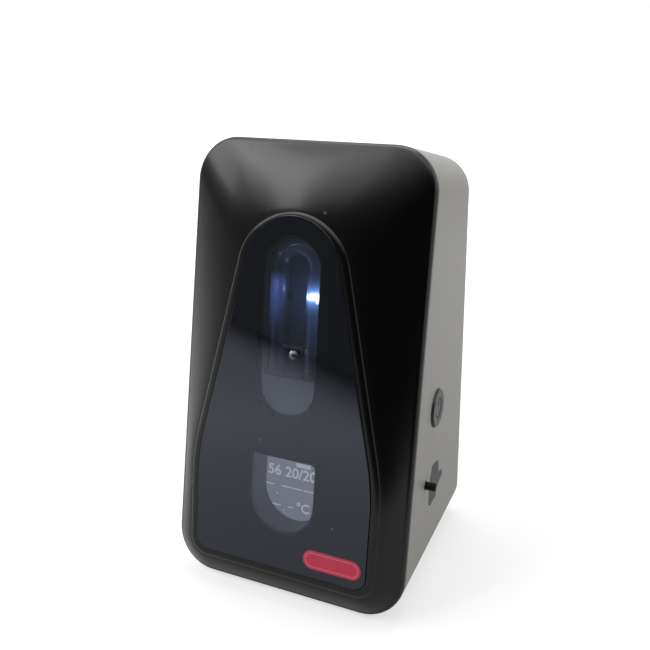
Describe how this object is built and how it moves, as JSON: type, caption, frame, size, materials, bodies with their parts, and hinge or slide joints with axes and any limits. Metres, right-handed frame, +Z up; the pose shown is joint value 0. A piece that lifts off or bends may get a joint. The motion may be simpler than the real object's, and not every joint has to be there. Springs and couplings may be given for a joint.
{
  "type": "benchtop density meter",
  "caption": "Upright bench density meter: leaning black front with a proud teardrop pane, glass U-tube cell behind its upper window, display below, push button and charging jack on the side.",
  "frame": {"origin": "middle of the flat face that the meter rests on", "axes": "+X to the right seen from the front, +Y to the back, +Z up"},
  "size_m": [0.1016, 0.0839, 0.1599],
  "materials": {
    "grey_shell": "satin, fine grain",
    "black_gloss": "high gloss",
    "tinted_glass": "polished, tinted",
    "mask_black": "matt print",
    "black_rubber": "matt",
    "clear_glass": "polished",
    "dark_plastic": "matt",
    "shroud_grey": "matt",
    "dark_board": "black solder resist",
    "chip_black": "matt",
    "steel": "plated",
    "zinc_plate": "plated",
    "cell_aluminium": "dark anodised",
    "magnet_chrome": "polished",
    "copper_wire": "enamelled wire",
    "fitting_brass": "machined",
    "circuit_board": "solder resist",
    "screen": "lit display",
    "lamp_white": "clear lens",
    "battery_wrap": "shrink wrap",
    "button_grey": "satin",
    "soft_hose": "soft, milky",
    "port_grey": "satin"
  },
  "bodies": {
    "housing": {"base_pad": "black_rubber", "battery_pack": "battery_wrap", "battery_tray": "dark_plastic", "board_standoffs": "steel", "body_shell": "grey_shell", "button_guide": "dark_plastic", "cell_collars": "black_rubber", "cell_fittings": "fitting_brass", "cell_housing": "dark_plastic", "cell_lamps": "lamp_white", "cell_light_board": "dark_board", "cell_manifold": "cell_aluminium", "charging_jack": "steel", "chassis_plate": "zinc_plate", "chassis_screws": "steel", "coil_core": "steel", "damping_pad": "black_rubber", "display_board": "circuit_board", "display_screen": "screen", "display_shroud": "shroud_grey", "display_spacers": "steel", "drive_coil": "copper_wire", "drive_magnet": "magnet_chrome", "front_fascia": "black_gloss", "glass_panel": "tinted_glass", "inlet_hose": "soft_hose", "inlet_port": "port_grey", "jack_pin": "steel", "magnet_bridge": "cell_aluminium", "main_board": "circuit_board", "main_board_parts": "chip_black", "outlet_hose": "soft_hose", "outlet_port": "port_grey", "port_board": "circuit_board", "power_switch": "chip_black", "rear_cover": "grey_shell", "rear_cover_screws": "steel", "sample_nuts": "port_grey", "switch_board": "circuit_board", "temperature_sensor": "steel", "u_tube": "clear_glass", "window_mask": "mask_black"},
    "button": {"power_button": "button_grey", "switch_plunger": "button_grey"},
    "plug": {"port_plug": "black_rubber"}
  },
  "joints": [
    {"name": "power_button_press", "type": "slide", "parent": "housing", "child": "button", "axis": [-0.9995, -0.0323, -0.0043], "range_m": [0, 0.0006], "stiffness_N_per_m": 2000, "springref_m": -0.0002},
    {"name": "port_plug_pull", "type": "slide", "parent": "housing", "child": "plug", "axis": [0.9995, 0.03, 0.0039], "range_m": [0, 0.008]}
  ]
}
